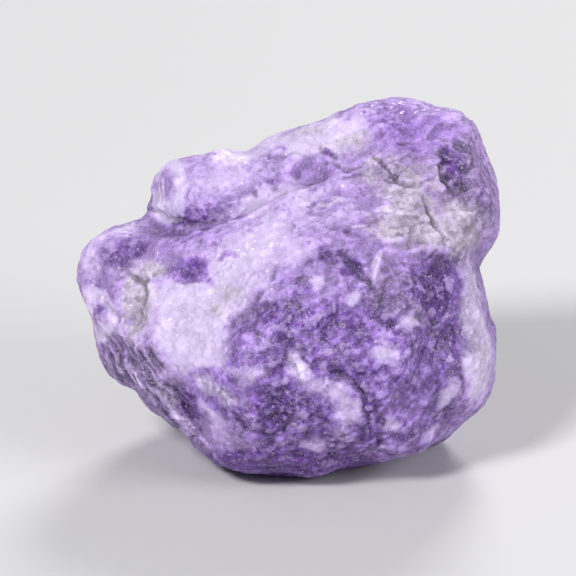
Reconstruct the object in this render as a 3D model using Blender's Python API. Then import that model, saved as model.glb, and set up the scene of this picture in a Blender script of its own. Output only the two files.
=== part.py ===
"""Raw lepidolite: one broken, lightly worn lump of lilac mica rock, as a single solid.

The stone is described in the viewer's frame, in millimetres from its heart: right, up and
near, as it is seen from a little above level. Broken faces bound it, a finger of rock and a
knob stand out of them, and grooves, ridges, lumps and chips run over them. It is then leaned
back into the world frame, where +X is right, +Y is away from the viewer and +Z is up, and it
is cut flat where it rests. The origin is the middle of its box, at the bottom.
"""

import math

import bmesh
import bpy
import numpy as np
from mathutils import Vector, noise

NAME = "lepidolite_stone"
MM = 0.001
LENGTH = 36.0
VIEW_RISE = math.radians(22.0)
FOOT_DROP = 13.9

COLOUR = (0.33, 0.20, 0.48)
ROUGHNESS = 0.5
METALLIC = 0.0

# The mesh: cuts along each side of the starting cube, and rounds that even out its corners.
SIDE_CUTS = 27
RELAX_ROUNDS = 14
SHORTEST_EDGE = 0.12

# How much the edges between faces, the masses' broken ends and the joins to them are worn.
EDGE_WEAR = 0.42
LOBE_WEAR = 0.35
LOBE_BLEND = 0.8

# The search for the surface from the heart outwards.
SEARCH_REACH = 26.0
SEARCH_STEPS = 64
HALVINGS = 18
SLOPE_NUDGE = 0.05

# Broken faces: the way each one looks (right, up, near) and its distance from the heart.
FACES = {
    "crown": ((-0.27, 0.96, 0.05), 13.1),
    "crown_right": ((0.18, 0.98, 0.05), 17.7),
    "shoulder": ((0.95, 0.29, 0.12), 19.2),
    "right_side": ((0.99, -0.06, 0.10), 17.6),
    "lower_right": ((0.69, -0.72, 0.05), 18.6),
    "under_right": ((0.26, -0.96, 0.05), 15.9),
    "under_left": ((-0.20, -0.98, 0.05), 15.5),
    "lower_left": ((-0.65, -0.76, 0.00), 14.8),
    "left_end": ((-0.95, -0.31, 0.00), 16.6),
    "shelf": ((-0.42, 0.85, 0.30), 9.3),
    "pale_face": ((-0.50, 0.25, 0.83), 11.0),
    "upper_band": ((-0.22, 0.72, 0.66), 10.2),
    "matrix_face": ((0.18, 0.45, 0.87), 12.2),
    "bulge_front": ((0.08, -0.15, 0.98), 13.2),
    "bulge_right": ((0.74, -0.05, 0.67), 15.8),
    "bulge_corner": ((0.50, -0.55, 0.67), 16.2),
    "bulge_under": ((0.05, -0.72, 0.69), 14.8),
    "flank": ((-0.62, -0.50, 0.60), 13.6),
    "back": ((0.18, 0.08, -0.98), 13.4),
    "back_left": ((-0.72, 0.18, -0.67), 12.8),
    "back_right": ((0.78, -0.12, -0.61), 15.6),
    "back_top": ((-0.05, 0.74, -0.67), 13.4),
    "back_under": ((-0.25, -0.58, -0.77), 13.8),
}

# Masses that stand out of the faces: each one's two ends with a radius each, and the broken
# faces that bound it, given as the faces above are.
LOBES = {
    "finger": (
        ((-8.9, 8.3, 0.8), 3.7),
        ((5.0, 11.6, 0.5), 4.0),
        (((-0.86, 0.10, 0.42), 10.8), ((-0.23, 0.97, 0.05), 13.0), ((-0.10, 0.40, 0.91), 7.7)),
    ),
    "spine": (
        ((-9.0, 5.4, -4.0), 3.8),
        ((5.0, 9.2, -4.8), 4.4),
        (((-0.90, 0.30, -0.25), 10.6), ((-0.25, 0.93, -0.27), 11.2)),
    ),
    "left_knob": (
        ((-13.5, 0.8, -1.0), 5.2),
        ((-10.5, -4.0, 1.0), 4.8),
        (
            ((-0.97, -0.24, 0.05), 16.85),
            ((-0.34, 0.94, 0.00), 9.4),
            ((-0.55, -0.05, 0.83), 10.5),
            ((-0.60, 0.10, -0.80), 12.4),
        ),
    ),
}

# Grooves and ridges drawn over the surface: how far each rises, its half width and its line.
STROKES = {
    "finger_groove": (
        -1.1,
        1.1,
        ((-11.6, 5.8, 1.5), (-8.6, 5.5, 4.5), (-5.6, 6.2, 5.6)),
    ),
    "finger_valley": (-0.6, 1.2, ((-4.2, 6.8, 5.8), (-1.0, 8.0, 5.8), (2.3, 9.4, 5.5))),
    "band_ridge": (
        0.5,
        1.3,
        ((-16.0, 3.0, 1.5), (-11.0, 3.8, 5.0), (-6.0, 4.5, 7.0), (0.0, 6.2, 7.8), (4.0, 8.0, 7.8)),
    ),
    "right_notch": (
        -1.55,
        1.8,
        ((17.6, 3.0, -5.0), (18.5, 2.2, -2.0), (17.0, 2.0, 3.0), (16.3, 2.0, 4.4)),
    ),
    "right_slope": (-0.7, 2.4, ((17.6, 0.2, -4.0), (18.5, -0.6, -1.0), (17.0, -0.8, 3.0))),
    "matrix_step": (
        -0.7,
        1.3,
        ((13.8, 2.0, 7.0), (11.0, 1.6, 8.8), (7.0, 2.6, 10.0), (3.0, 2.2, 10.6)),
    ),
    "hollow": (-0.5, 1.3, ((4.4, 1.4, 11.0), (5.6, 0.6, 11.6), (6.9, -0.5, 12.4))),
    "bulge_rim": (
        -0.5,
        0.8,
        ((-5.8, -5.8, 11.2), (-4.4, -2.8, 11.2), (-2.2, -1.5, 12.2), (1.0, -1.2, 13.0)),
    ),
    "knob_under": (-0.5, 1.3, ((-17.6, -2.2, -1.0), (-16.2, -4.0, 2.0), (-13.6, -5.2, 4.5))),
    "knob_crease": (-0.6, 0.9, ((-13.2, 2.2, 4.6), (-12.3, 0.2, 5.5), (-11.8, -2.6, 6.5))),
    "flank_edge": (
        0.6,
        0.9,
        ((-12.4, -4.2, 6.3), (-10.9, -8.0, 4.8), (-9.8, -10.0, 4.2), (-7.9, -12.2, 4.2)),
    ),
    "flank_slot": (-0.7, 0.9, ((-9.5, -8.2, 6.0), (-8.4, -10.0, 5.8), (-7.4, -11.6, 5.4))),
    "bulge_seam": (
        -0.35,
        0.9,
        ((1.1, -5.8, 12.5), (4.2, -7.0, 13.0), (5.8, -9.1, 12.6), (6.1, -12.2, 11.0)),
    ),
    "shoulder_pit": (-0.8, 1.6, ((14.2, 10.4, 5.0), (14.6, 8.6, 6.0))),
    "crown_rise": (0.7, 3.0, ((4.0, 14.2, 1.0), (8.5, 15.8, 1.0))),
    "crown_dip": (-0.7, 1.4, ((-3.4, 12.4, 3.0), (-3.6, 12.6, -1.0), (-3.0, 11.4, -5.0))),
    "back_ledge": (-0.5, 1.3, ((-4.0, 4.0, -12.5), (2.0, 6.5, -12.5), (8.0, 7.5, -10.0))),
    "back_crest": (0.7, 1.6, ((-9.0, -6.0, -10.0), (-1.0, -3.0, -13.0), (7.0, -4.0, -12.5))),
    "back_groove": (-0.7, 1.3, ((-2.0, -7.0, -12.5), (3.0, -10.0, -11.0), (8.0, -12.0, -6.0))),
    "left_scar": (-0.7, 1.7, ((-13.0, 5.0, -5.0), (-14.5, 0.5, -6.5), (-12.5, -5.0, -7.5))),
    "top_groove": (-0.6, 1.2, ((3.0, 13.0, -7.0), (8.0, 14.5, -3.0), (12.5, 14.5, 0.5))),
}

# Relief all over: rounded lumps, and scooped chips, large and small, with crests between.
# A chip's middle lies below the surface by its rise times the mean, and its crest above it.
LUMP_RISE = 0.35
LUMP_SIZE = 6.5
CHIPS = ((1.1, 6.5), (0.5, 3.1))
CHIP_MEAN = 0.45


def unit(vector):
    """The vector as a numpy array of length 1."""
    array = np.array(vector, float)
    return array / np.linalg.norm(array)


def soft_max(values, softness):
    """The largest of the rows, with the change from one to the next rounded off."""
    most = values.max(axis=0)
    return most + softness * np.log(np.exp((values - most) / softness).sum(axis=0))


def distance_to_stretch(points, start, end):
    """Distance from points to a straight stretch, and how far along it each one's place is."""
    along = end - start
    share = np.clip((points - start) @ along / (along @ along), 0.0, 1.0)
    return np.linalg.norm(points - start - share[:, None] * along, axis=1), share


def lobe_distance(points, lobe):
    """Distance from points to a tapered bar, with its broken faces."""
    (start, start_radius), (end, end_radius), faces = lobe
    gap, share = distance_to_stretch(points, np.array(start), np.array(end))
    sides = [gap - start_radius - share * (end_radius - start_radius)]
    sides += [points @ unit(way) - reach for way, reach in faces]
    return soft_max(np.stack(sides), LOBE_WEAR)


def body_distance(points):
    """Distance from points to the stone's surface, negative inside it."""
    faces = np.stack([points @ unit(way) - reach for way, reach in FACES.values()])
    shapes = [soft_max(faces, EDGE_WEAR)]
    shapes += [lobe_distance(points, lobe) for lobe in LOBES.values()]
    return -soft_max(-np.stack(shapes), LOBE_BLEND)


def outward(points):
    """The way the surface faces at each point, from how the distance changes there."""
    slopes = []
    for axis in range(3):
        nudge = np.zeros(3)
        nudge[axis] = SLOPE_NUDGE
        slopes.append(body_distance(points + nudge) - body_distance(points - nudge))
    slope = np.stack(slopes, axis=1)
    return slope / np.linalg.norm(slope, axis=1)[:, None]


def on_surface(ways):
    """The outermost point of the surface along each way from the heart."""
    outer = np.full(len(ways), SEARCH_REACH)
    inner = np.zeros(len(ways))
    searching = np.ones(len(ways), bool)
    for step in np.linspace(SEARCH_REACH, 0.0, SEARCH_STEPS):
        inside = body_distance(ways * step) < 0.0
        inner[searching & inside] = step
        searching &= ~inside
        outer[searching] = step
    for _ in range(HALVINGS):
        middle = (outer + inner) / 2.0
        inside = body_distance(ways * middle[:, None]) < 0.0
        inner = np.where(inside, middle, inner)
        outer = np.where(inside, outer, middle)
    return ways * outer[:, None]


def evened_out(points, edges):
    """Each point moved to the middle of its neighbours and back to the surface, some rounds."""
    starts = np.concatenate([edges[:, 0], edges[:, 1]])
    ends = np.concatenate([edges[:, 1], edges[:, 0]])
    counts = np.bincount(starts)[:, None]
    for _ in range(RELAX_ROUNDS):
        sums = np.zeros_like(points)
        np.add.at(sums, starts, points[ends])
        points = sums / counts
        points -= outward(points) * body_distance(points)[:, None]
    return points


def stroke_rise(points):
    """How far the grooves and ridges lift each point."""
    rise = np.zeros(len(points))
    for height, half_width, places in STROKES.values():
        line = on_surface(np.array([unit(place) for place in places]))
        stretches = zip(line[:-1], line[1:])
        gaps = [distance_to_stretch(points, start, end)[0] for start, end in stretches]
        rise += height * np.exp(-((np.min(gaps, axis=0) / half_width) ** 2))
    return rise


def relief_rise(point):
    """How far the lumps and chips lift one point."""
    place = Vector(point)
    rise = LUMP_RISE * noise.noise(place / LUMP_SIZE)
    for chip_rise, chip_size in CHIPS:
        from_middle = noise.voronoi(place / chip_size)[0][0]
        rise += chip_rise * (from_middle - CHIP_MEAN)
    return rise


def to_world(points):
    """Viewer's frame to world frame: right stays, and up and near lean by the view's rise."""
    right, up, near = points.T
    away = up * math.sin(VIEW_RISE) - near * math.cos(VIEW_RISE)
    high = up * math.cos(VIEW_RISE) + near * math.sin(VIEW_RISE)
    return np.stack([right, away, high], axis=1)


def round_cube():
    """A cube divided evenly and blown up to a ball, whose corners give the ways to search."""
    mesh = bmesh.new()
    bmesh.ops.create_cube(mesh, size=2.0)
    bmesh.ops.subdivide_edges(mesh, edges=mesh.edges[:], cuts=SIDE_CUTS, use_grid_fill=True)
    for corner in mesh.verts:
        turned = [math.tan(value * math.pi / 4.0) for value in corner.co]
        corner.co = Vector(turned).normalized()
    return mesh


def shape_surface(mesh):
    """Move the ball's corners to the stone's surface, with all its relief."""
    ways = np.array([corner.co for corner in mesh.verts])
    edges = np.array([[corner.index for corner in edge.verts] for edge in mesh.edges])
    points = evened_out(on_surface(ways), edges)
    rise = stroke_rise(points) + np.array([relief_rise(point) for point in points])
    points += outward(points) * rise[:, None]
    for corner, place in zip(mesh.verts, to_world(points)):
        corner.co = Vector(place)


def cut_foot(mesh):
    """Cut the stone flat where it rests, and close the cut."""
    cut = bmesh.ops.bisect_plane(
        mesh,
        geom=mesh.verts[:] + mesh.edges[:] + mesh.faces[:],
        plane_co=(0.0, 0.0, -FOOT_DROP),
        plane_no=(0.0, 0.0, -1.0),
        clear_outer=True,
    )
    rim = [item for item in cut["geom_cut"] if isinstance(item, bmesh.types.BMEdge)]
    bmesh.ops.holes_fill(mesh, edges=rim)
    bmesh.ops.remove_doubles(mesh, verts=mesh.verts[:], dist=SHORTEST_EDGE)
    bmesh.ops.recalc_face_normals(mesh, faces=mesh.faces[:])


def set_size_and_place(mesh):
    """Scale the stone to its length in metres, with the bottom middle of its box at 0, 0, 0."""
    places = np.array([corner.co for corner in mesh.verts])
    low = places.min(axis=0)
    high = places.max(axis=0)
    bottom_middle = Vector(((low[0] + high[0]) / 2.0, (low[1] + high[1]) / 2.0, low[2]))
    scale = LENGTH * MM / (high[0] - low[0])
    for corner in mesh.verts:
        corner.co = (corner.co - bottom_middle) * scale


def stone_material():
    material = bpy.data.materials.new("lilac_mica")
    material.use_nodes = True
    shader = material.node_tree.nodes["Principled BSDF"]
    shader.inputs["Base Color"].default_value = (*COLOUR, 1.0)
    shader.inputs["Roughness"].default_value = ROUGHNESS
    shader.inputs["Metallic"].default_value = METALLIC
    return material


def build_stone():
    mesh = round_cube()
    shape_surface(mesh)
    cut_foot(mesh)
    set_size_and_place(mesh)
    data = bpy.data.meshes.new(NAME)
    mesh.to_mesh(data)
    mesh.free()
    data.shade_smooth()
    data.materials.append(stone_material())
    stone = bpy.data.objects.new(NAME, data)
    bpy.context.scene.collection.objects.link(stone)


for old in list(bpy.data.objects):
    bpy.data.objects.remove(old)
build_stone()
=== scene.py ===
"""Looks of the raw lepidolite: a fine skin over the CAD stone, its mica, and a plain studio.

Places on the stone are given as the photograph shows them: millimetres right and up from the
middle of its outline, seen from VIEW_RISE above level. Each is set on the surface where that
viewer meets it, or for the hidden side where a viewer straight behind would.
"""

import math
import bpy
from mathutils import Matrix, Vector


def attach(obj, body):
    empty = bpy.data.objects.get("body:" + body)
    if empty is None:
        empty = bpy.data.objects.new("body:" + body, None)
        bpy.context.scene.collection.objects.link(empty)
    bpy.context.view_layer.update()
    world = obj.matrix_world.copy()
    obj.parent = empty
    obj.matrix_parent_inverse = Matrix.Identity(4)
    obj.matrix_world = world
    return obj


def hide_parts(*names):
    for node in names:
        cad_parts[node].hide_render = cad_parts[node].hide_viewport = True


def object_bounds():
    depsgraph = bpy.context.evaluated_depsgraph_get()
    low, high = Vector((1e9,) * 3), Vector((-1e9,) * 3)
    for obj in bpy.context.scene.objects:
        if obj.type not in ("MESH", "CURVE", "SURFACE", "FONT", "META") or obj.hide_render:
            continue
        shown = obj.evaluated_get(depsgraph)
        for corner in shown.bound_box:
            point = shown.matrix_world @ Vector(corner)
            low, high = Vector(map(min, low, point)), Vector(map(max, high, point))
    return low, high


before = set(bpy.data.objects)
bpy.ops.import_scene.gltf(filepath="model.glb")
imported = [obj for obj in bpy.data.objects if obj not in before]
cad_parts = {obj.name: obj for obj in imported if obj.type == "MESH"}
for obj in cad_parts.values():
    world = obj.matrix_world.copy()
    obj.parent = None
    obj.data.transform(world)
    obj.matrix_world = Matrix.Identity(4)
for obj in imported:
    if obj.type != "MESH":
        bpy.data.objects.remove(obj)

from types import SimpleNamespace

import bmesh
import bpy
import numpy as np
from mathutils import Vector, noise

NODE = "lepidolite_stone"
SLOT = "lilac_mica"
MM = 0.001
CAD_LOW, CAD_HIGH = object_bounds()

# The photograph's view of the stone.
VIEW_RISE = math.radians(22.0)
VIEW_AXES = np.array([
    [1.0, 0.0, 0.0],
    [0.0, math.sin(VIEW_RISE), math.cos(VIEW_RISE)],
    [0.0, -math.cos(VIEW_RISE), math.sin(VIEW_RISE)],
])

# The camera's distance and lens in millimetres, and its near limit in metres.
CAMERA_REACH = 450.0
CAMERA_LENS = 330.0
CAMERA_NEAR = 0.01

# The skin's mesh, in millimetres.
WELD = 0.002
VOXEL = 0.22
SMOOTHING = 8

# Relief fades in over these heights above the foot, in millimetres.
FOOT_LIMITS = (0.05, 0.8)

# Patches of colour by kind: right, up, half width, half height, turn in degrees, strength.
# At strength 1 a patch reaches its half widths; noise breaks up its rim, or all of a weak one.
PATCHES = {
    "purple": [
        (4.9, -7.8, 11.0, 7.2, 0, 1.15),
        (12.6, -2.0, 3.8, 4.0, 0, 1.00),
        (16.4, 7.6, 1.2, 2.8, -10, 0.65),
        (-15.8, -2.2, 1.3, 1.7, 0, 0.75),
        (-8.6, 4.7, 3.4, 0.9, 12, 0.60),
        (-8.4, 6.2, 2.4, 0.5, 2, 0.85),
        (2.6, 2.6, 2.6, 1.2, -10, 0.70),
    ],
    "pale": [
        (-8.3, -3.2, 3.1, 4.9, 10, 1.35),
        (-4.2, 1.2, 8.6, 2.7, 48, 1.02),
        (-1.6, 4.5, 4.6, 1.5, 24, 0.72),
        (1.6, 7.4, 3.0, 0.55, 24, 0.90),
        (0.6, 3.0, 2.6, 1.3, 30, 0.70),
        (-3.0, -7.2, 1.3, 1.0, 20, 0.80),
        (-6.0, -11.8, 2.6, 1.2, -30, 0.60),
        (-4.6, -8.6, 1.2, 0.7, -10, 0.56),
        (-2.6, -4.6, 1.1, 0.7, 0, 0.46),
        (4.4, 6.2, 2.2, 0.9, 12, 0.64),
        (10.0, -3.2, 1.2, 0.8, 10, 0.85),
        (-12.6, -0.8, 2.0, 2.8, -8, 1.10),
        (-1.6, 7.5, 4.0, 1.0, 22, 0.92),
        (-2.0, 12.2, 5.4, 1.2, 16, 0.95),
        (3.0, 12.9, 3.4, 2.0, 15, 1.40),
        (-5.2, 9.4, 5.0, 1.6, 14, 0.74),
        (-8.0, -8.6, 4.0, 0.55, -56, 0.95),
        (4.8, -10.5, 1.25, 2.7, 8, 0.84),
        (3.2, -8.3, 2.3, 1.1, -16, 0.82),
        (1.0, -6.8, 0.6, 1.3, 25, 0.85),
        (1.9, -12.8, 1.3, 0.8, 0, 0.85),
        (8.0, -5.5, 1.6, 0.8, -22, 0.90),
        (8.4, -11.8, 1.1, 0.6, 15, 0.90),
        (12.0, -12.3, 1.0, 0.5, 15, 0.75),
        (13.6, -8.8, 0.8, 1.2, -15, 0.95),
        # A pale facet down the right edge, made lighter still as painted edge light.
        (16.0, -4.8, 1.6, 6.8, 8, 1.35),
        (5.7, -1.0, 0.7, 0.9, 0, 0.95),
        (2.3, 0.2, 0.6, 0.7, 0, 0.95),
        (-16.6, 2.4, 1.2, 1.8, -20, 0.80),
        (-15.0, 4.4, 2.8, 0.6, 26, 0.80),
        (-17.0, -1.4, 0.5, 1.9, 12, 0.80),
    ],
    "cream": [
        (1.0, 13.3, 2.4, 0.9, 20, 0.72),
        (4.9, 12.2, 2.6, 0.9, 28, 0.64),
        (10.4, 5.0, 3.8, 1.9, -5, 1.05),
        (14.7, 5.0, 1.9, 2.6, 10, 1.00),
        (9.9, 8.3, 2.8, 2.2, 0, 0.90),
        (7.2, 9.6, 1.2, 1.6, -30, 0.75),
        (-12.9, -1.2, 1.6, 2.9, -8, 0.85),
        (-11.2, 1.5, 1.5, 0.8, 10, 1.05),
        (-5.6, -1.4, 1.8, 1.3, 0, 0.60),
    ],
    "grey": [
        (-12.6, -6.6, 2.3, 1.9, -20, 1.25),
        (-10.6, -9.6, 1.6, 4.4, 36, 1.15),
        (-14.6, -6.2, 1.5, 2.2, 20, 1.00),
        (14.2, 9.8, 1.6, 2.5, 6, 1.70),
        (8.9, 9.4, 1.5, 1.4, 0, 0.60),
        (9.2, -0.8, 2.0, 2.2, 0, 0.85),
        (4.6, 2.6, 1.9, 1.0, -15, 0.80),
        (16.6, 7.2, 1.0, 2.6, -10, 0.62),
    ],
    "deep": [
        (12.9, 0.0, 2.9, 2.2, -30, 1.28),
        (14.6, -3.6, 1.2, 2.2, 10, 0.95),
        (5.0, 2.0, 2.0, 1.1, -25, 0.80),
        (0.6, -2.5, 3.6, 0.9, -4, 0.80),
        (-0.3, -10.3, 2.4, 1.7, 25, 1.00),
        # Deep violet along the bottom, deepened as painted shade of the contact with the floor.
        (-1.1, -15.3, 7.6, 1.6, 2, 1.90),
        (6.9, -11.0, 0.5, 2.2, 8, 0.95),
        (3.6, -7.1, 1.8, 0.35, -12, 0.80),
        (13.6, -6.0, 1.6, 0.6, 40, 0.70),
        (-8.6, 5.6, 2.2, 0.35, -4, 0.80),
        (-1.4, 8.6, 0.7, 0.22, 24, 0.85),
        (-13.4, 3.0, 1.9, 0.8, 12, 0.90),
        (13.5, 10.2, 0.9, 1.7, 6, 1.00),
        (3.4, 11.2, 0.6, 0.30, -14, 0.75),
        (-8.3, 1.7, 0.9, 0.7, 0, 1.10),
        (-8.3, -10.1, 0.4, 1.5, 32, 1.00),
    ],
    "violet": [
        (-8.2, 1.5, 1.3, 1.0, 0, 1.90),
        (-6.9, 0.4, 0.9, 0.4, -35, 0.85),
        (-5.1, 2.2, 0.7, 0.35, 30, 0.90),
        (-6.1, -8.7, 2.7, 1.4, -18, 1.60),
        (10.3, 13.4, 3.9, 2.0, 0, 0.78),
        (9.9, 12.0, 1.1, 0.7, 0, 1.15),
        (2.9, 10.5, 2.0, 0.9, 15, 0.50),
        (0.9, 9.7, 1.2, 0.6, 20, 0.60),
        (9.9, -9.5, 2.8, 2.0, 0, 1.05),
    ],
    # Painted highlights: white streaks where light catches ridges, rails, fins and rims.
    "painted_highlight": [
        (-9.3, -10.0, 2.4, 0.20, -58, 0.80),
        (-11.8, -8.0, 2.6, 0.20, -50, 0.70),
        (7.5, 1.8, 0.36, 1.3, 6, 1.15),
        (7.7, 6.7, 0.9, 0.32, -8, 1.15),
        (3.4, 7.0, 1.4, 0.22, 14, 0.85),
        (8.6, 6.9, 0.8, 0.24, -14, 0.90),
        (5.6, 5.2, 1.0, 0.20, 4, 0.80),
        (-16.9, -2.0, 0.30, 1.6, 18, 0.80),
        (0.9, -6.6, 0.36, 1.1, 28, 0.72),
        (-13.4, -7.0, 2.2, 0.16, -46, 0.70),
        (-10.6, -7.4, 2.2, 0.16, -52, 0.65),
        (-4.6, 11.7, 1.8, 0.22, 6, 0.80),
        (-11.0, 7.4, 0.6, 1.3, -8, 0.70),
        # These two are painted light on the down-facing flank.
        (-5.4, -9.2, 1.1, 0.6, -20, 0.82),
        (-7.2, -8.2, 0.9, 0.5, -40, 0.76),
        (-13.6, 5.3, 2.0, 0.18, 22, 0.70),
        (1.2, 8.0, 1.4, 0.22, 26, 0.80),
        (16.2, -4.4, 1.0, 5.0, 8, 0.98),
    ],
}

# The same for the hidden side.
PATCHES_BEHIND = {
    "purple": [
        (-2.0, -5.0, 11.0, 7.0, 0, 1.10),
        (10.0, -6.0, 6.0, 5.0, 0, 1.00),
        (-11.0, 3.0, 3.0, 3.5, 0, 0.90),
    ],
    "pale": [
        (-3.0, 4.6, 8.5, 2.0, -16, 1.25),
        (7.0, 1.6, 4.0, 1.7, -24, 1.00),
        (2.0, -9.0, 1.6, 1.0, 20, 0.80),
        (15.4, -6.0, 2.0, 4.2, 10, 0.95),
        (-8.4, -5.4, 2.4, 1.0, 30, 0.85),
        (6.0, 11.6, 3.2, 1.0, -8, 0.90),
    ],
    "cream": [
        (12.0, 4.5, 2.4, 3.2, 10, 1.10),
        (-9.0, 7.2, 2.6, 1.2, -10, 0.80),
    ],
    "grey": [
        (-12.0, -4.0, 2.4, 2.8, 20, 1.00),
        (5.0, -12.0, 3.4, 1.4, 10, 0.90),
    ],
    "deep": [
        (-1.0, -1.6, 4.0, 1.3, -20, 0.95),
        (8.5, -7.5, 2.6, 1.8, 20, 1.05),
        (-7.5, -9.0, 2.2, 1.6, 0, 0.95),
    ],
    "violet": [
        (4.5, -5.0, 2.4, 1.3, 30, 1.10),
        (-6.5, -3.5, 1.6, 1.1, 0, 1.00),
        (5.0, 9.5, 3.6, 1.8, -10, 0.90),
    ],
    # Painted highlights on the hidden side.
    "painted_highlight": [
        (2.0, 6.0, 3.2, 0.30, -20, 0.95),
        (-8.0, -1.0, 0.4, 2.4, 15, 0.85),
        (8.0, -9.0, 2.6, 0.3, 40, 0.90),
    ],
}

# How far patches reach inwards, and how noise moves their rims: its size and swing, in millimetres.
PATCH_DEPTH = 3.0
DRIFTS = ((3.2, 0.9), (1.1, 0.4))

# Each kind's general spread over the hidden side: its noise's size in millimetres, and its mean.
HIDDEN_SPREAD = {
    "purple": (8.0, 0.45),
    "pale": (7.0, 0.12),
    "cream": (9.0, -0.05),
    "grey": (8.0, 0.05),
    "deep": (6.0, 0.10),
    "violet": (6.5, 0.05),
    # Painted highlights spread over the hidden side.
    "painted_highlight": (2.4, -0.45),
}
HIDDEN_SWING = 1.3
# The lowest and highest values that a field of colour may have.
FIELD_RANGE = (-1.0, 1.5)

# Seed of the noise module's vectors, which otherwise differ from run to run.
VECTOR_SEED = 7
# Seeds of the noises, and the steps between seeds where a noise is drawn several times.
GRIT_SEED = 17.0
SWELL_SEED = 41.0
LINE_SEED = 3.0
STRIA_HEIGHT_SEED = 29.0
SPREAD_SEED = 5.0
SPREAD_STEP = 11.0
DRIFT_STEP = 7.0
# Factors that spread the middles of grains and slabs over a noise, so that each gets its own value.
GRAIN_TONE_SPREAD = 7.7
SLAB_TILT_SPREAD = 5.3

# Fine relief, in millimetres: how far each kind lifts or sinks the surface, and its size.
SWELLS = ((0.26, 4.2), (0.13, 1.9))
GRAINS = ((0.26, 1.30), (0.18, 0.70))
SLABS = ((0.40, 2.4), (0.28, 1.2))
GRIT_RISE = 0.035
GRIT_SIZE = 0.45
# The mean distance from a grain's middle, in grains, and the softly held limit of a rise.
GRAIN_MEAN = 0.42
HIGHEST_RISE = 0.50

# The way in the photograph's view that slabs and streaks lie, and how long each is drawn on it.
SLAB_WAY = (0.88, 0.47, 0.0)
SLAB_STRETCH = 2.4
STREAK_STRETCH = 4.0

# Where a kind of colour changes the relief: its field at none of it and at all of it.
FIELD_LIMITS = {
    "purple": (0.1, 0.8),
    "pale": (0.1, 0.8),
    "cream": (0.1, 0.8),
    "grey": (0.2, 0.8),
}
# The coarse grain of the purple stone is lost in the pale and the cream.
COARSE_LOSS = 0.8
# Shares of the grains' height and tone that show everywhere, and that only coarse grain adds.
GRAIN_SHARES = (0.15, 0.85)
TONE_SHARES = (0.25, 0.75)
# The slabs' share, and what the pale colours take from it.
SLAB_SHARE = 0.75
SLAB_PALE_LOSS = 0.45

# How far the surface faces the viewer, from where nothing of a side's marks shows to all of it.
HIDDEN_FACING = (-0.25, 0.25)
LINE_FACING = (-0.3, 0.1)
LINE_FACING_BEHIND = (0.3, -0.1)
FLANK_FACING = (-0.3, 0.2)
# The flank, in millimetres left of the middle: from none of it to all of it.
FLANK_LIMITS = (4.0, 8.0)
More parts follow.
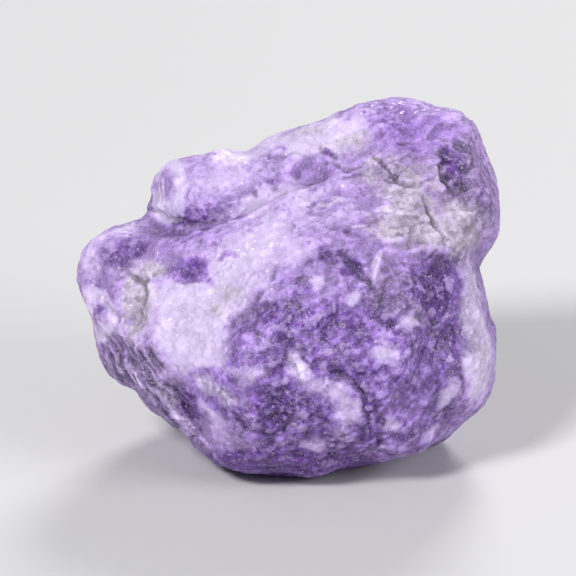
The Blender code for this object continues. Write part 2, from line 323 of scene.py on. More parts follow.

# Lines on the front: height or depth and half width in millimetres, darkness of the painted shade in a
# sunken line, and points.
LINES = {
    "upper_crack": (-0.36, 0.17, 0.75, [(6.8, 11.4), (7.6, 10.7), (8.5, 9.8), (9.4, 8.6)]),
    "lower_crack": (-0.36, 0.16, 0.8, [(11.2, 7.9), (11.6, 6.9), (11.9, 5.9), (12.4, 5.0)]),
    "hair_crack": (-0.20, 0.13, 0.6, [(12.4, 5.0), (12.9, 4.2), (13.0, 3.2)]),
    "knob_crack": (-0.34, 0.24, 0.55, [
        (-14.0, 1.8), (-12.9, 0.9), (-12.0, 0.2), (-12.1, -1.2), (-12.5, -3.0),
    ]),
    "finger_gap": (-0.50, 0.26, 0.65, [
        (-11.9, 6.9), (-10.8, 6.2), (-9.4, 5.6), (-8.2, 5.3), (-6.0, 5.7),
    ]),
    "finger_fold": (0.14, 0.30, 0.0, [(-5.6, 7.0), (-3.6, 7.5), (-1.3, 8.3)]),
    "band_edge": (0.22, 0.34, 0.0, [(-9.0, 5.3), (-5.0, 5.9), (-1.0, 7.1), (2.6, 8.6), (4.4, 9.2)]),
    "seam": (-0.28, 0.16, 0.6, [
        (1.0, -5.8), (2.6, -6.8), (4.6, -7.1), (6.2, -8.5), (6.5, -10.5), (7.0, -12.7),
    ]),
    "seam_lip": (0.20, 0.50, 0.0, [(3.2, -7.9), (5.0, -8.4), (5.6, -10.0), (5.5, -12.4)]),
    "pale_fin": (0.28, 0.35, 0.0, [(0.6, -5.6), (1.0, -6.6), (1.5, -7.8)]),
    "hollow_cut": (-0.55, 0.42, 0.5, [(4.4, 3.0), (5.4, 1.6), (6.6, 0.4), (7.0, -0.4)]),
    "cream_fin": (0.35, 0.28, 0.0, [(7.2, 2.8), (7.5, 1.8), (7.7, 0.8)]),
    "matrix_lip": (0.20, 0.40, 0.0, [(7.6, 2.9), (9.8, 3.0), (12.0, 3.4), (13.6, 3.0)]),
    "flank_slit": (-0.22, 0.26, 0.60, [(-9.5, -8.4), (-8.5, -9.9), (-7.6, -11.4)]),
    "flank_rail": (0.30, 0.34, 0.0, [(-10.9, -8.0), (-9.8, -9.9), (-8.5, -11.6), (-6.9, -13.1)]),
    "flank_rail_outer": (0.18, 0.34, 0.0, [(-14.6, -5.4), (-13.2, -7.2), (-11.4, -9.2), (-9.8, -11.6)]),
    "crown_step": (-0.22, 0.24, 0.25, [(3.2, 10.6), (4.6, 10.0), (6.2, 10.2)]),
    "crown_step_low": (-0.20, 0.22, 0.2, [(4.4, 9.2), (5.6, 9.5), (6.8, 9.3)]),
    "crown_groove": (-0.18, 0.22, 0.2, [(-3.6, 11.4), (-1.6, 11.0), (0.6, 11.4), (2.2, 11.0)]),
    "pit_edge": (-0.24, 0.20, 0.60, [(13.2, 12.0), (12.8, 10.6), (12.9, 9.2), (13.6, 8.0), (14.6, 7.4)]),
    "matrix_split": (-0.20, 0.20, 0.35, [(9.2, 9.0), (10.2, 8.6), (11.2, 8.6), (12.2, 9.4)]),
    "matrix_fold": (0.18, 0.30, 0.0, [(7.4, 4.4), (8.8, 3.9), (10.2, 4.2), (11.2, 5.2)]),
    "knob_slit": (-0.24, 0.22, 0.4, [(-15.6, -0.6), (-15.0, -1.8), (-14.3, -2.8)]),
    "knob_fold": (0.20, 0.30, 0.0, [(-11.6, 0.2), (-11.2, -1.4), (-11.8, -3.2), (-12.4, -4.4)]),
    "flank_line": (-0.22, 0.22, 0.35, [(-13.4, -4.6), (-12.2, -6.4), (-10.8, -8.4)]),
    "flank_line_low": (-0.22, 0.22, 0.35, [(-12.2, -7.8), (-11.0, -9.6), (-9.6, -11.4)]),
    "knob_rim": (0.20, 0.30, 0.0, [(-17.2, 0.2), (-16.8, -1.8), (-15.4, -3.8), (-14.2, -4.8)]),
    "bulge_step": (-0.26, 0.36, 0.25, [(-5.4, -5.0), (-4.2, -2.6), (-2.0, -1.6), (1.0, -1.4)]),
}

# The same on the hidden side, seen from straight behind.
LINES_BEHIND = {
    "long_crack": (-0.34, 0.22, 0.6, [
        (-6.5, 4.0), (-4.6, 2.6), (-3.0, 2.2), (-1.2, 0.6), (-0.4, -1.2),
    ]),
    "low_crack": (-0.28, 0.18, 0.6, [(3.2, -4.4), (4.4, -6.0), (4.6, -7.8), (5.8, -9.4)]),
    "side_crack": (-0.30, 0.18, 0.6, [(14.6, 2.6), (13.8, 0.8), (14.4, -1.0), (13.6, -3.0)]),
    "side_step": (0.26, 0.42, 0.0, [(16.6, 6.4), (16.9, 3.6), (16.4, 1.2)]),
    "ledge_lip": (0.26, 0.42, 0.0, [(1.0, 7.6), (4.0, 6.8), (7.2, 7.2), (10.0, 6.2)]),
    "ledge_cut": (-0.30, 0.36, 0.3, [(1.6, 6.4), (4.4, 5.8), (7.4, 6.0), (9.6, 5.2)]),
    "knob_split": (-0.28, 0.20, 0.5, [(-13.6, 1.6), (-12.4, -0.4), (-12.6, -2.2)]),
    "low_lip": (0.24, 0.40, 0.0, [(-9.0, -6.6), (-6.2, -7.4), (-3.4, -7.0), (-1.2, -8.2)]),
    "low_cut": (-0.26, 0.32, 0.3, [(-8.6, -7.8), (-6.0, -8.4), (-3.2, -8.0)]),
    "right_fold": (0.22, 0.36, 0.0, [(10.2, -2.0), (11.6, -4.0), (11.8, -6.4), (10.8, -8.4)]),
}

# How noise moves lines and pits, how much nearness to the viewer counts in their distances, and
# the share of a line's strength that is left at its ends.
LINE_DRIFTS = ((0.9, 0.30), (0.4, 0.10))
LINE_NEARNESS = 0.15
LINE_TAPER = 0.55

# Pits on the front: right, up, half width and depth.
PITS = [
    (3.0, 11.4, 0.26, 0.30), (3.9, 11.1, 0.22, 0.24), (0.8, 9.5, 0.24, 0.30), (-1.2, 8.4, 0.24, 0.32),
    (-9.1, 4.9, 0.22, 0.22), (-2.8, 8.0, 0.20, 0.25), (-11.9, 0.7, 0.35, 0.35), (13.2, 10.8, 0.50, 0.40),
    (13.3, 9.2, 0.40, 0.38), (14.6, 8.6, 0.45, 0.34), (14.5, 10.0, 0.35, 0.30), (4.9, 4.6, 0.30, 0.28),
    (8.4, -3.2, 0.40, 0.30), (11.0, -2.4, 0.45, 0.32), (12.6, -5.0, 0.35, 0.28), (7.6, -13.1, 0.40, 0.35),
    (9.6, 12.2, 0.25, 0.22), (1.8, -3.9, 0.35, 0.25), (-2.6, -3.6, 0.30, 0.22), (3.0, -4.6, 0.40, 0.28),
]
# How dark the painted shade in the pits is.
PIT_DARKNESS = 0.6

# Striations of the flank, in the photograph's view: the ways across and along them, how long
# their noise is drawn along them, and their spacing and height in millimetres.
STRIA_ACROSS = (0.77, 0.63, 0.0)
STRIA_WAY = (0.63, -0.77, 0.0)
STRIA_STRETCH = 9.0
STRIA_SIZE = 0.90
STRIA_RISE = 0.15
# Noises that bend them: size, swing as a share of the spacing, and seed.
STRIA_BENDS = ((3.4, 0.9, 23.0), (0.9, 0.15, 27.0))
# Their height's mean share, its swing and the swing's size.
STRIA_HEIGHTS = (0.7, 0.6, 2.2)

# Pale rims of broken ends on the front: right, up, half width, half height, turn, strength.
RINGS = [
    (-10.1, 8.3, 1.25, 1.9, -12, 1.10),
    (-16.0, -2.4, 0.85, 1.7, 22, 1.00),
]
# The rim's width, and how far back from the front it goes, in millimetres.
RING_WIDTH = 0.50
RING_DEPTH = 4.0

# Colours, linear.
LILAC = (0.450, 0.305, 0.650)
PURPLE = (0.122, 0.048, 0.275)
MID_PURPLE = (0.228, 0.110, 0.430)
PALE_LILAC = (0.540, 0.410, 0.740)
WHITE_LILAC = (0.675, 0.570, 0.825)
CREAM = (0.555, 0.480, 0.590)
STONE_GREY = (0.415, 0.355, 0.455)
GREY_PURPLE = (0.166, 0.110, 0.250)
DEEP_VIOLET = (0.110, 0.034, 0.250)
VIOLET = (0.235, 0.120, 0.455)
LIGHT_VIOLET = (0.385, 0.225, 0.640)
# Pale colour of the grains, veins and curls, and of the painted crest highlights and glints.
FLECK = (0.700, 0.570, 0.880)
FLOOR_COLOUR = (0.57, 0.565, 0.575)
SKY_COLOUR = (1.0, 1.0, 1.0)

# Two-toned kinds: the noise's value at the one colour, and at the other.
PURPLE_MIX = (0.40, 0.63)
CREAM_MIX = (0.38, 0.60)
VIOLET_MIX = (0.36, 0.66)
GROUND_MIX = (0.35, 0.68)
# How far the ground is evened out to plain lilac.
GROUND_EVENNESS = 0.55

# Noises of the material: size in millimetres, detail and roughness.
COARSE_NOISE = (2.6, 5.0, 0.62)
MOTTLE_NOISE = (1.3, 4.0, 0.60)
FINE_NOISE = (0.7, 5.0, 0.65)
STREAK_NOISE = (0.55, 4.0, 0.60)
STRIA_NOISE = (0.42, 3.0, 0.55)

# Mica flakes: their sizes and drift in millimetres, and how far each kind leans.
FLAKE_SIZE = 0.42
SMALL_FLAKE_SIZE = 0.17
FLAKE_DRIFT = 0.20
FLAKE_LEAN = 0.55
SMALL_FLAKE_LEAN = 0.26

# Bumps: their strength, their height in millimetres, and the share of each pattern beside the
# fine noise.
BUMP_STRENGTH = 0.52
BUMP_RISE = 0.10
BUMP_FLAKE = 0.5
BUMP_SMALL_FLAKE = 0.25
BUMP_STREAK = 0.8

# What breaks up the patches' rims: the share of each noise and of the flakes, and their mean.
RIM_COARSE = 0.45
RIM_FINE = 0.55
RIM_FLAKE = 0.16
RIM_MEAN = 0.58

# Layers of colour from the lowest up: how much its rim is broken up, and the rim's half width.
LAYERS = (
    ("purple", 1.6, 0.33),
    ("pale", 1.5, 0.32),
    ("cream", 2.0, 0.40),
    ("grey", 1.8, 0.34),
    ("violet", 1.5, 0.38),
    ("deep", 1.9, 0.45),
    # The top layer is painted highlight.
    ("painted_highlight", 1.4, 0.40),
)
# The field at a layer's rim, and the most that a layer covers.
LAYER_RIM = 0.5
LAYER_COVER = 0.90
# The pale layer: how much noise breaks up its white, and the field at none and all of the white.
WHITE_SWING = 1.0
WHITE_LIMITS = (0.50, 1.05)

# Lightness by pattern: the pattern's low and high values, and the lightness at each.
LIGHTNESS = {
    "flake": (0.0, 1.0, 0.83, 1.16),
    "small_flake": (0.0, 1.0, 0.90, 1.10),
    "streak": (0.3, 0.7, 0.84, 1.14),
    "stria": (-0.12, 0.12, 0.52, 1.32),
    "tone": (-0.5, 0.5, 0.72, 1.30),
    # Painted shade in hollows and painted light on crests.
    "hollow": (-0.7, 0.8, 1.18, 0.68),
    # Painted shade in cracks, grooves and pits.
    "recess_shade": (0.0, 1.0, 1.0, 0.12),
}
# How strong the grain stays where the stone is pale.
PALE_CALM = 0.55

# Pale marks: the values at none and all of each, and the share of pale colour that it adds.
# Crests get pale colour as painted highlight.
CREST_HIGHLIGHT_LIMITS = (-0.25, -0.9)
CREST_HIGHLIGHT_SHARE = 0.25
BRIGHT_GRAIN_LIMITS = (0.35, 0.85)
BRIGHT_GRAIN_SHARE = 0.35
# Specks: painted glints of mica flakes.
SPECK_LIMITS = (0.955, 0.985)
SPECK_CLUSTERS = (0.50, 0.66)
SPECK_DARK_LIMITS = (0.4, 0.9)
SPECK_SHARE = 0.36
# Veins and curls follow a noise's level: the level, their width in the noise's values, their share.
VEIN_LEVEL = 0.5
VEIN_WIDTH = 0.030
VEIN_SHARE = 0.26
CURL_LEVEL = 0.54
CURL_WIDTH = 0.022
CURL_CLUSTERS = (0.46, 0.58)
CURL_PURPLE_LIMITS = (0.1, 0.7)
CURL_SHARE = 0.38

# Roughness of the flakes, and what the glinting ones have of it: by a flake's random value.
FLAKE_ROUGHNESS = (0.0, 1.0, 0.45, 0.75)
GLINT_ROUGHNESS = (0.80, 0.90, 1.0, 0.35)

# Shine, and the light that enters the mica: its share, reach by colour and scale in millimetres.
SPECULAR = 0.35
SUBSURFACE_SHARE = 0.16
SUBSURFACE_RADIUS = (1.0, 0.7, 1.2)
SUBSURFACE_SCALE = 0.7

# How the hollows that get painted shade, and the crests that get painted light, are found: rounds of
# blurring, and the depth in millimetres of a full hollow.
HOLLOW_BLUR = 7
HOLLOW_REACH = 0.10

# The middle value of a noise, and of a random colour.
NOISE_MIDDLE = 0.5
COLOUR_MIDDLE = (0.5, 0.5, 0.5)

# Studio: each lamp's place and width in metres and its power, the sky and the floor.
LAMPS = {
    "key": ((-0.33, -0.40, 0.50), 0.18, 4.5),
    "fill": ((0.55, -0.30, 0.35), 0.40, 2.6),
    "rim": ((0.12, 0.55, 0.42), 0.25, 2.8),
}
SKY_STRENGTH = 0.18
FLOOR_HALF = 3.0
FLOOR_ROUGHNESS = 0.7


def smooth_step(values, low, high):
    """0 on low's side, 1 on high's side, and an even curve between."""
    share = np.clip((values - low) / (high - low), 0.0, 1.0)
    return share * share * (3.0 - 2.0 * share)


def noise_at(places, size, seed):
    """Soft noise from about -1 to 1, with features of that size."""
    shift = Vector((seed, -2.0 * seed, 3.0 * seed))
    return np.array([noise.noise(place / size + shift) for place in places])


def grains_at(places, size):
    """Domed grains: how far each point is from its grain's middle, and the grain's own tone."""
    gaps = []
    tones = []
    for place in places:
        distances, middles = noise.voronoi(place / size)
        gaps.append(distances[0])
        tones.append(noise.noise(middles[0] * GRAIN_TONE_SPREAD))
    return np.array(gaps), np.array(tones)


def slabs_at(places, size):
    """Small flat slabs, each tilted its own way, with little steps between them."""
    noise.seed_set(VECTOR_SEED)
    rises = []
    for place in places:
        middle = noise.voronoi(place / size)[1][0]
        tilt = noise.noise_vector(middle * SLAB_TILT_SPREAD)
        rises.append(tilt.dot(place / size - middle))
    return np.array(rises)


def drifted(points, places, drifts, seed=0.0):
    """The points moved about by noise, so that what is drawn on them gets a natural rim."""
    moved = points.copy()
    for size, swing in drifts:
        for axis in range(3):
            moved[:, axis] += swing * noise_at(places, size, seed + DRIFT_STEP * (axis + 1))
    return moved


def blurred(values, edges, rounds):
    """Values at the mesh's points, each made the mean of its neighbours, some rounds."""
    starts = np.concatenate([edges[:, 0], edges[:, 1]])
    ends = np.concatenate([edges[:, 1], edges[:, 0]])
    counts = np.bincount(starts, minlength=len(values))
    for _ in range(rounds):
        sums = [np.bincount(starts, column[ends], len(values)) for column in values.T]
        values = np.stack(sums, axis=1) / counts[:, None]
    return values


def fine_skin(node):
    """A copy of the CAD stone, remeshed finely and smoothed."""
    welded = bmesh.new()
    welded.from_mesh(node.data)
    bmesh.ops.remove_doubles(welded, verts=welded.verts[:], dist=WELD * MM)
    rough = bpy.data.meshes.new("rough")
    welded.to_mesh(rough)
    welded.free()
    skin = bpy.data.objects.new("stone_skin", rough)
    bpy.context.scene.collection.objects.link(skin)
    remesh = skin.modifiers.new("remesh", "REMESH")
    remesh.mode = "VOXEL"
    remesh.voxel_size = VOXEL * MM
    smooth = skin.modifiers.new("smooth", "SMOOTH")
    smooth.iterations = SMOOTHING
    graph = bpy.context.evaluated_depsgraph_get()
    fine = bpy.data.meshes.new_from_object(skin.evaluated_get(graph))
    skin.modifiers.clear()
    skin.data = fine
    bpy.data.meshes.remove(rough)
    return skin


def points_of(data):
    """The mesh's points in millimetres."""
    flat = np.empty(len(data.vertices) * 3)
    data.vertices.foreach_get("co", flat)
    return flat.reshape(-1, 3) / MM


def normals_of(data):
    """The mesh's normals at its points."""
    flat = np.empty(len(data.vertices) * 3)
    data.vertices.foreach_get("normal", flat)
    return flat.reshape(-1, 3)


def set_points(data, points):
    data.vertices.foreach_set("co", (points * MM).ravel())
    data.update()


def edges_of(data):
    """The numbers of the two points of each edge."""
    flat = np.empty(len(data.edges) * 2, int)
    data.edges.foreach_get("vertices", flat)
    return flat.reshape(-1, 2)


class Seen:
    """The skin's points as the photograph's viewer sees them: right, up and near."""

    REACH = 0.45

    def __init__(self, points):
        seen = points @ VIEW_AXES.T
        self.points = seen - (seen.max(axis=0) + seen.min(axis=0)) / 2.0

    def depth(self, right, up, behind=False):
        """How near the surface is at that place, on its front or on its hidden side."""
        gap = np.hypot(self.points[:, 0] - right, self.points[:, 1] - up)
        found = self.points[gap < max(self.REACH, gap.min() + self.REACH), 2]
        return found.min() if behind else found.max()

    def line(self, places, behind):
        """Points on the surface for a line's places."""
        return np.array([(right, up, self.depth(right, up, behind)) for right, up in places])


def own_ways(points, patch):
    """How far points are from a patch's middle, in its half widths and in its half heights."""
    right, up, half_width, half_height, turn, _ = patch
    turn = math.radians(turn)
    across = points[:, 0] - right
    along = points[:, 1] - up
    long_way = (across * math.cos(turn) + along * math.sin(turn)) / half_width
    short_way = (along * math.cos(turn) - across * math.sin(turn)) / half_height
    return long_way, short_way


def patch_field(points, seen, patch, behind):
    """The patch's strength at its middle, half of it at its rim, falling further outwards."""
    right, up, half_width, _, _, strength = patch
    long_way, short_way = own_ways(points, patch)
    deep_way = (points[:, 2] - seen.depth(right, up, behind)) / (PATCH_DEPTH + half_width)
    return strength * (1.0 - 0.5 * (long_way**2 + short_way**2 + deep_way**2))


def ring_field(points, seen, ring):
    """The pale rim round a broken end: its strength on the rim, falling to both sides of it."""
    right, up, half_width, _, _, strength = ring
    long_way, short_way = own_ways(points, ring)
    off_rim = (np.hypot(long_way, short_way) - 1.0) * half_width / RING_WIDTH
    on_front = points[:, 2] > seen.depth(right, up) - RING_DEPTH
    return strength * (1.0 - 0.5 * off_rim**2) * on_front


def colour_fields(seen, places, facing):
    """For each kind of colour, how strongly it shows at each point: 0.5 is its rim."""
    points = drifted(seen.points, places, DRIFTS)
    hidden = 1.0 - smooth_step(facing, *HIDDEN_FACING)
    fields = {}
    for number, kind in enumerate(PATCHES):
        size, mean = HIDDEN_SPREAD[kind]
        general = mean + HIDDEN_SWING * noise_at(places, size, SPREAD_STEP * number + SPREAD_SEED)
        field = np.where(hidden > 0.0, general - (1.0 - hidden), FIELD_RANGE[0])
        for patch in PATCHES[kind]:
            field = np.maximum(field, patch_field(points, seen, patch, False))
        for patch in PATCHES_BEHIND[kind]:
            field = np.maximum(field, patch_field(points, seen, patch, True))
        fields[kind] = np.clip(field, *FIELD_RANGE)
    for ring in RINGS:
        fields["pale"] = np.maximum(fields["pale"], ring_field(points, seen, ring))
    return fields


def distance_to_line(points, line):
    """Distance from points to a line of stretches, and how far along it each one's place is.

    Nearness to the viewer counts little, so that a line doesn't sink under the surface.
    """
    nearest = np.full(len(points), np.inf)
    place = np.zeros(len(points))
    points = points * (1.0, 1.0, LINE_NEARNESS)
    line = line * (1.0, 1.0, LINE_NEARNESS)
    for number, (start, end) in enumerate(zip(line[:-1], line[1:])):
        along = end - start
        share = np.clip((points - start) @ along / (along @ along), 0.0, 1.0)
        gap = np.linalg.norm(points - start - share[:, None] * along, axis=1)
        place = np.where(gap < nearest, (number + share) / (len(line) - 1), place)
        nearest = np.minimum(nearest, gap)
    return nearest, place


def line_rise(seen, places, facing):
    """How far the lines and pits lift or sink each point, and how dark the painted shade in them is."""
    points = drifted(seen.points, places, LINE_DRIFTS, LINE_SEED)
    rise = np.zeros(len(points))
    recess_shade = np.zeros(len(points))
    lines = [(*line, False) for line in LINES.values()]
    lines += [(*line, True) for line in LINES_BEHIND.values()]
    for height, half_width, darkness, line, behind in lines:
        gap, place = distance_to_line(points, seen.line(line, behind))
        taper = LINE_TAPER + (1.0 - LINE_TAPER) * np.sin(math.pi * place)
        own_side = smooth_step(facing, *(LINE_FACING_BEHIND if behind else LINE_FACING))
        share = own_side * taper * np.exp(-((gap / (half_width * taper)) ** 2))
        rise += height * share
        recess_shade = np.maximum(recess_shade, darkness * share)
    for right, up, half_width, depth in PITS:
        off = (points - (right, up, seen.depth(right, up))) * (1.0, 1.0, LINE_NEARNESS)
        share = np.exp(-((np.linalg.norm(off, axis=1) / half_width) ** 2))
        rise -= depth * share
        recess_shade = np.maximum(recess_shade, PIT_DARKNESS * share)
    return rise, recess_shade


def along_the_grain(points):
    """Places squeezed along the way that the slabs lie, which makes what is drawn there long."""
    way = np.array(SLAB_WAY) @ VIEW_AXES
    length = np.linalg.norm(way)
    along = points @ way / length
    squeezed = points - np.outer(along * (1.0 - 1.0 / SLAB_STRETCH), way / length)
    return [Vector(point) for point in squeezed]


def stria_rise(seen, places):
    """How far the flank's striations lift or sink each point."""
    wave = seen.points @ np.array(STRIA_ACROSS) / STRIA_SIZE
    for size, swing, seed in STRIA_BENDS:
        wave += swing * noise_at(places, size, seed)
    mean, swing, size = STRIA_HEIGHTS
    height = mean + swing * noise_at(places, size, STRIA_HEIGHT_SEED)
    return STRIA_RISE * np.sin(wave * 2.0 * math.pi) * height


def give_relief(data):
    """Lift and sink the skin's points, and return what the colours need to know of them."""
    points = points_of(data)
    normals = normals_of(data)
    places = [Vector(point) for point in points]
    seen = Seen(points)
    facing = normals @ VIEW_AXES[2]
    fields = colour_fields(seen, places, facing)
    shown = {kind: smooth_step(fields[kind], *limits) for kind, limits in FIELD_LIMITS.items()}
    pale = shown["pale"]
    coarse = shown["purple"] * (1.0 - COARSE_LOSS * pale) * (1.0 - COARSE_LOSS * shown["cream"])

    rise = GRIT_RISE * noise_at(places, GRIT_SIZE, GRIT_SEED)
    for swell, size in SWELLS:
        rise += swell * noise_at(places, size, SWELL_SEED)
    tone = np.zeros(len(points))
    for grain, size in GRAINS:
        gaps, tones = grains_at(places, size)
        rise -= (GRAIN_SHARES[0] + GRAIN_SHARES[1] * coarse) * grain * (gaps - GRAIN_MEAN)
        tone += (TONE_SHARES[0] + TONE_SHARES[1] * coarse) * tones
    long_places = along_the_grain(points)
    for slab, size in SLABS:
        rise += (SLAB_SHARE - SLAB_PALE_LOSS * pale) * slab * slabs_at(long_places, size)
    flank = shown["grey"] * smooth_step(-seen.points[:, 0], *FLANK_LIMITS)
    flank = flank * smooth_step(facing, *FLANK_FACING)
    rise += flank * stria_rise(seen, places)
    lines, recess_shade = line_rise(seen, places, facing)
    rise += lines

    # Rises are softly limited, and all of it stays inside the CAD stone's box.
    rise = np.where(rise > 0.0, HIGHEST_RISE * np.tanh(rise / HIGHEST_RISE), rise)
    above_foot = smooth_step(points[:, 2], *FOOT_LIMITS)
    points += normals * (rise * above_foot)[:, None]
    low = np.array(CAD_LOW) / MM
    high = np.array(CAD_HIGH) / MM
    set_points(data, np.clip(points, low, high))

    # How far each point sinks into a hollow or stands on a crest: painted shade and painted light.
    points = points_of(data)
    sunk = (blurred(points, edges_of(data), HOLLOW_BLUR) - points) * normals_of(data)
    fields["hollow"] = np.clip(sunk.sum(axis=1) / HOLLOW_REACH, -1.0, 1.0)
    # Painted shade of the cracks, grooves and pits.
    fields["recess_shade"] = recess_shade
    fields["flank"] = flank
    fields["tone"] = tone
    return fields


def keep_fields(data, fields):
    """Store the fields on the mesh, where the material reads them."""
    for name, values in fields.items():
        kept = data.attributes.new(name, "FLOAT", "POINT")
        kept.data.foreach_set("value", values.astype(np.float32))


# Shader helpers.

def add(tree, kind, inputs=None, **settings):
    """A new shader node; an input is given as a value or as the output that feeds it."""
    made = tree.nodes.new(kind)
    for name, value in settings.items():
        setattr(made, name, value)
    for name, value in (inputs or {}).items():
        if isinstance(value, bpy.types.NodeSocket):
            tree.links.new(value, made.inputs[name])
        else:
            made.inputs[name].default_value = value
    return made


def maths(tree, operation, *values):
    return add(tree, "ShaderNodeMath", dict(enumerate(values)), operation=operation).outputs[0]


def vectors(tree, operation, *values):
    return add(tree, "ShaderNodeVectorMath", dict(enumerate(values)), operation=operation).outputs[0]


def scaled(tree, vector, factor):
    return add(tree, "ShaderNodeVectorMath", {0: vector, "Scale": factor}, operation="SCALE").outputs[0]


def ramped(tree, value, low, high, to_low=0.0, to_high=1.0):
    """The value from low to high, turned evenly into to_low to to_high."""
    inputs = {0: value, 1: low, 2: high, 3: to_low, 4: to_high}
    return add(tree, "ShaderNodeMapRange", inputs, interpolation_type="SMOOTHSTEP").outputs[0]


def mixed(tree, share, below, above):
    """One colour laid over another, by the share."""
    return add(tree, "ShaderNodeMix", {0: share, 6: below, 7: above}, data_type="RGBA").outputs[2]


def plus(tree, total, value, share):
    """The total and that share of the value."""
    return maths(tree, "ADD", total, maths(tree, "MULTIPLY", value, share))


def off_level(tree, value, level):
    """How far the value is from the level, either way."""
    return maths(tree, "ABSOLUTE", maths(tree, "SUBTRACT", value, level))


def colour(values):
    return (*values, 1.0)


def noise_texture(tree, where, size, detail, rough):
    inputs = {"Vector": where, "Scale": 1.0 / (size * MM), "Detail": detail, "Roughness": rough}
    return add(tree, "ShaderNodeTexNoise", inputs)


def cells(tree, where, size):
    return add(tree, "ShaderNodeTexVoronoi", {"Vector": where, "Scale": 1.0 / (size * MM)})


def random_values(tree, cell_texture):
    """Three random values for each cell."""
    return add(tree, "ShaderNodeSeparateColor", {0: cell_texture.outputs["Color"]}).outputs


def attribute(tree, name):
    return add(tree, "ShaderNodeAttribute", attribute_name=name).outputs["Fac"]


def stretched(tree, where, seen_way, stretch):
    """Places squeezed along a way in the photograph's view, which makes a pattern long that way."""
    way = Vector(np.array(seen_way) @ VIEW_AXES).normalized()
    along = add(tree, "ShaderNodeVectorMath", {0: where, 1: way}, operation="DOT_PRODUCT")
    shift = scaled(tree, way, maths(tree, "MULTIPLY", along.outputs["Value"], 1.0 / stretch - 1.0))
    return vectors(tree, "ADD", where, shift)


def stone_patterns(tree):
    """The noises, streaks and flakes that the colour, the gloss and the bumps share."""
    where = add(tree, "ShaderNodeTexCoord").outputs["Object"]
    coarse = noise_texture(tree, where, *COARSE_NOISE)
    mottle = noise_texture(tree, where, *MOTTLE_NOISE)
    fine = noise_texture(tree, where, *FINE_NOISE)
    drift = vectors(tree, "SUBTRACT", fine.outputs["Color"], COLOUR_MIDDLE)
    bent = vectors(tree, "ADD", where, scaled(tree, drift, FLAKE_DRIFT * MM))
    flakes = cells(tree, bent, FLAKE_SIZE)
    small_flakes = cells(tree, bent, SMALL_FLAKE_SIZE)
    streaks = noise_texture(tree, stretched(tree, where, SLAB_WAY, STREAK_STRETCH), *STREAK_NOISE)
    striae = noise_texture(tree, stretched(tree, where, STRIA_WAY, STRIA_STRETCH), *STRIA_NOISE)
    return SimpleNamespace(
        coarse=coarse.outputs[0],
        mottle=mottle.outputs[0],
        fine=fine.outputs[0],
        streaks=streaks.outputs[0],
        striae=striae.outputs[0],
        flakes=flakes.outputs,
        small_flakes=small_flakes.outputs,
        flake_random=random_values(tree, flakes),
        small_random=random_values(tree, small_flakes),
    )


def layered_colour(tree, patterns):
    """The kinds of colour, each laid over the last where its field, broken up by noise, is high.

    Also how strong the grain is, which is calmer where the pale colours show.
    """
    wander = plus(tree, maths(tree, "MULTIPLY", patterns.coarse, RIM_COARSE), patterns.fine, RIM_FINE)
    wander = plus(tree, wander, patterns.flake_random[0], RIM_FLAKE)
    wander = maths(tree, "SUBTRACT", wander, RIM_MEAN)
    purple_mix = ramped(tree, patterns.mottle, *PURPLE_MIX)
    pale_mix = ramped(tree, plus(tree, attribute(tree, "pale"), wander, WHITE_SWING), *WHITE_LIMITS)
    cream_mix = ramped(tree, patterns.coarse, *CREAM_MIX)
    violet_mix = ramped(tree, patterns.mottle, *VIOLET_MIX)
    tints = {
        "purple": mixed(tree, purple_mix, colour(PURPLE), colour(MID_PURPLE)),
        "pale": mixed(tree, pale_mix, colour(PALE_LILAC), colour(WHITE_LILAC)),
        "cream": mixed(tree, cream_mix, colour(STONE_GREY), colour(CREAM)),
        "grey": colour(GREY_PURPLE),
        "violet": mixed(tree, violet_mix, colour(VIOLET), colour(LIGHT_VIOLET)),
        "deep": colour(DEEP_VIOLET),
        # Painted highlight.
        "painted_highlight": colour(WHITE_LILAC),
    }
    ground = mixed(tree, ramped(tree, patterns.coarse, *GROUND_MIX), colour(PURPLE), colour(LILAC))
    ground = mixed(tree, GROUND_EVENNESS, ground, colour(LILAC))
    whiteness = 0.0
    for name, swing, softness in LAYERS:
        field = plus(tree, attribute(tree, name), wander, swing)
        share = ramped(tree, field, LAYER_RIM - softness, LAYER_RIM + softness, 0.0, LAYER_COVER)
        ground = mixed(tree, share, ground, tints[name])
        hidden = maths(tree, "MULTIPLY", whiteness, maths(tree, "SUBTRACT", 1.0, share))
        whiteness = share if name == "pale" else hidden
    return ground, ramped(tree, whiteness, 0.0, LAYER_COVER, 1.0, PALE_CALM)


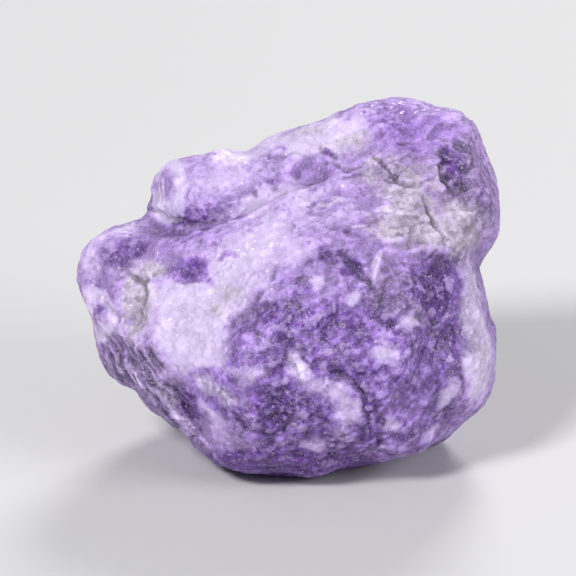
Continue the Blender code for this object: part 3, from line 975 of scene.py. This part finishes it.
def grained_colour(tree, patterns, ground, calm):
    """The ground, lighter and darker by pattern and by painted shade and light, with painted crest
    highlights, pale grains, veins and curls, and specks painted as glints.
    """
    tone = attribute(tree, "tone")
    hollow = attribute(tree, "hollow")
    striae = maths(tree, "SUBTRACT", patterns.striae, NOISE_MIDDLE)
    sources = {
        "flake": patterns.flake_random[1],
        "small_flake": patterns.small_random[1],
        "streak": patterns.streaks,
        "stria": maths(tree, "MULTIPLY", striae, attribute(tree, "flank")),
        "tone": tone,
        "hollow": hollow,
    }
    # The hollows' lightness is painted shade in hollows and painted light on crests.
    lightness = 1.0
    for name, source in sources.items():
        lightness = maths(tree, "MULTIPLY", lightness, ramped(tree, source, *LIGHTNESS[name]))
    swing = maths(tree, "MULTIPLY", maths(tree, "SUBTRACT", lightness, 1.0), calm)
    # Painted shade in the cracks, grooves and pits.
    darkness = ramped(tree, attribute(tree, "recess_shade"), *LIGHTNESS["recess_shade"])
    lightness = maths(tree, "MULTIPLY", maths(tree, "ADD", swing, 1.0), darkness)
    grained = scaled(tree, ground, lightness)

    vein = ramped(tree, off_level(tree, patterns.fine, VEIN_LEVEL), 0.0, VEIN_WIDTH, VEIN_SHARE, 0.0)
    # Pale colour on the crests: painted highlight.
    crest_highlight = ramped(tree, hollow, *CREST_HIGHLIGHT_LIMITS, 0.0, CREST_HIGHLIGHT_SHARE)
    bright_grain = ramped(tree, tone, *BRIGHT_GRAIN_LIMITS, 0.0, BRIGHT_GRAIN_SHARE)
    # Specks painted as glints of mica flakes, in clusters and in the dark patches.
    glint_speck = ramped(tree, patterns.small_random[2], *SPECK_LIMITS)
    cluster = ramped(tree, patterns.mottle, *SPECK_CLUSTERS)
    dark_field = maths(tree, "MAXIMUM", attribute(tree, "deep"), attribute(tree, "grey"))
    cluster = maths(tree, "MAXIMUM", cluster, ramped(tree, dark_field, *SPECK_DARK_LIMITS))
    glint_speck = maths(tree, "MULTIPLY", maths(tree, "MULTIPLY", glint_speck, cluster), SPECK_SHARE)
    curl = ramped(tree, off_level(tree, patterns.mottle, CURL_LEVEL), 0.0, CURL_WIDTH, CURL_SHARE, 0.0)
    curl_cluster = ramped(tree, patterns.coarse, *CURL_CLUSTERS)
    purple_place = ramped(tree, attribute(tree, "purple"), *CURL_PURPLE_LIMITS)
    curl = maths(tree, "MULTIPLY", curl, maths(tree, "MULTIPLY", curl_cluster, purple_place))
    for share in (vein, crest_highlight, bright_grain, curl, glint_speck):
        grained = mixed(tree, maths(tree, "MULTIPLY", share, calm), grained, colour(FLECK))
    return grained


def flaky_normal(tree, patterns, calm):
    """Bumps of the flakes and streaks, with each flake leaning its own way."""
    height = plus(tree, patterns.fine, patterns.flakes["Distance"], BUMP_FLAKE)
    height = plus(tree, height, patterns.small_flakes["Distance"], BUMP_SMALL_FLAKE)
    height = plus(tree, height, patterns.streaks, BUMP_STREAK)
    strength = maths(tree, "MULTIPLY", calm, BUMP_STRENGTH)
    bumps = {"Height": height, "Strength": strength, "Distance": BUMP_RISE * MM}
    leaned = add(tree, "ShaderNodeBump", bumps).outputs[0]
    for flakes, lean in ((patterns.flakes, FLAKE_LEAN), (patterns.small_flakes, SMALL_FLAKE_LEAN)):
        tilt = vectors(tree, "SUBTRACT", flakes["Color"], COLOUR_MIDDLE)
        tilt = scaled(tree, tilt, maths(tree, "MULTIPLY", calm, lean))
        leaned = vectors(tree, "ADD", leaned, tilt)
    return vectors(tree, "NORMALIZE", leaned)


def stone_material():
    material = bpy.data.materials.new(SLOT)
    material.use_nodes = True
    tree = material.node_tree
    shader = tree.nodes["Principled BSDF"]
    patterns = stone_patterns(tree)
    ground, calm = layered_colour(tree, patterns)
    flake_roughness = ramped(tree, patterns.flake_random[2], *FLAKE_ROUGHNESS)
    glint_roughness = ramped(tree, patterns.small_random[0], *GLINT_ROUGHNESS)
    roughness = maths(tree, "MULTIPLY", flake_roughness, glint_roughness)
    tree.links.new(grained_colour(tree, patterns, ground, calm), shader.inputs["Base Color"])
    tree.links.new(roughness, shader.inputs["Roughness"])
    tree.links.new(flaky_normal(tree, patterns, calm), shader.inputs["Normal"])
    shader.inputs["Specular IOR Level"].default_value = SPECULAR
    shader.inputs["Subsurface Weight"].default_value = SUBSURFACE_SHARE
    shader.inputs["Subsurface Radius"].default_value = SUBSURFACE_RADIUS
    shader.inputs["Subsurface Scale"].default_value = SUBSURFACE_SCALE * MM
    return material


def make_stone():
    skin = fine_skin(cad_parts[NODE])
    fields = give_relief(skin.data)
    keep_fields(skin.data, fields)
    skin.data.shade_smooth()
    skin.data.materials.clear()
    skin.data.materials.append(stone_material())
    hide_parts(NODE)
    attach(skin, "root")


# Studio.

def plain_material(name, tint, roughness):
    material = bpy.data.materials.new(name)
    material.use_nodes = True
    shader = material.node_tree.nodes["Principled BSDF"]
    shader.inputs["Base Color"].default_value = colour(tint)
    shader.inputs["Roughness"].default_value = roughness
    return material


def make_floor():
    data = bpy.data.meshes.new("floor")
    half = FLOOR_HALF
    corners = [(-half, -half, 0.0), (half, -half, 0.0), (half, half, 0.0), (-half, half, 0.0)]
    data.from_pydata(corners, [], [(0, 1, 2, 3)])
    data.materials.append(plain_material("floor_white", FLOOR_COLOUR, FLOOR_ROUGHNESS))
    floor = bpy.data.objects.new("floor", data)
    bpy.context.scene.collection.objects.link(floor)


def aim(thing, place, target):
    thing.location = place
    thing.rotation_mode = "QUATERNION"
    thing.rotation_quaternion = (target - place).to_track_quat("-Z", "Y")


def make_light(name, place, size, power, target):
    data = bpy.data.lights.new(name, "AREA")
    data.shape = "DISK"
    data.size = size
    data.energy = power
    lamp = bpy.data.objects.new(name, data)
    bpy.context.scene.collection.objects.link(lamp)
    aim(lamp, Vector(place), target)


def make_studio():
    seen = points_of(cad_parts[NODE].data) @ VIEW_AXES.T
    target = Vector((seen.max(axis=0) + seen.min(axis=0)) / 2.0 @ VIEW_AXES * MM)
    make_floor()
    for name, (place, size, power) in LAMPS.items():
        make_light(name, place, size, power, target)
    world = bpy.data.worlds.new("studio")
    world.use_nodes = True
    sky = world.node_tree.nodes["Background"]
    sky.inputs["Color"].default_value = colour(SKY_COLOUR)
    sky.inputs["Strength"].default_value = SKY_STRENGTH
    bpy.context.scene.world = world
    data = bpy.data.cameras.new("camera")
    data.lens = CAMERA_LENS
    data.clip_start = CAMERA_NEAR
    camera = bpy.data.objects.new("camera", data)
    bpy.context.scene.collection.objects.link(camera)
    aim(camera, target + Vector(VIEW_AXES[2]) * CAMERA_REACH * MM, target)
    bpy.context.scene.camera = camera
    bpy.context.scene.view_settings.view_transform = "Standard"


make_stone()
make_studio()
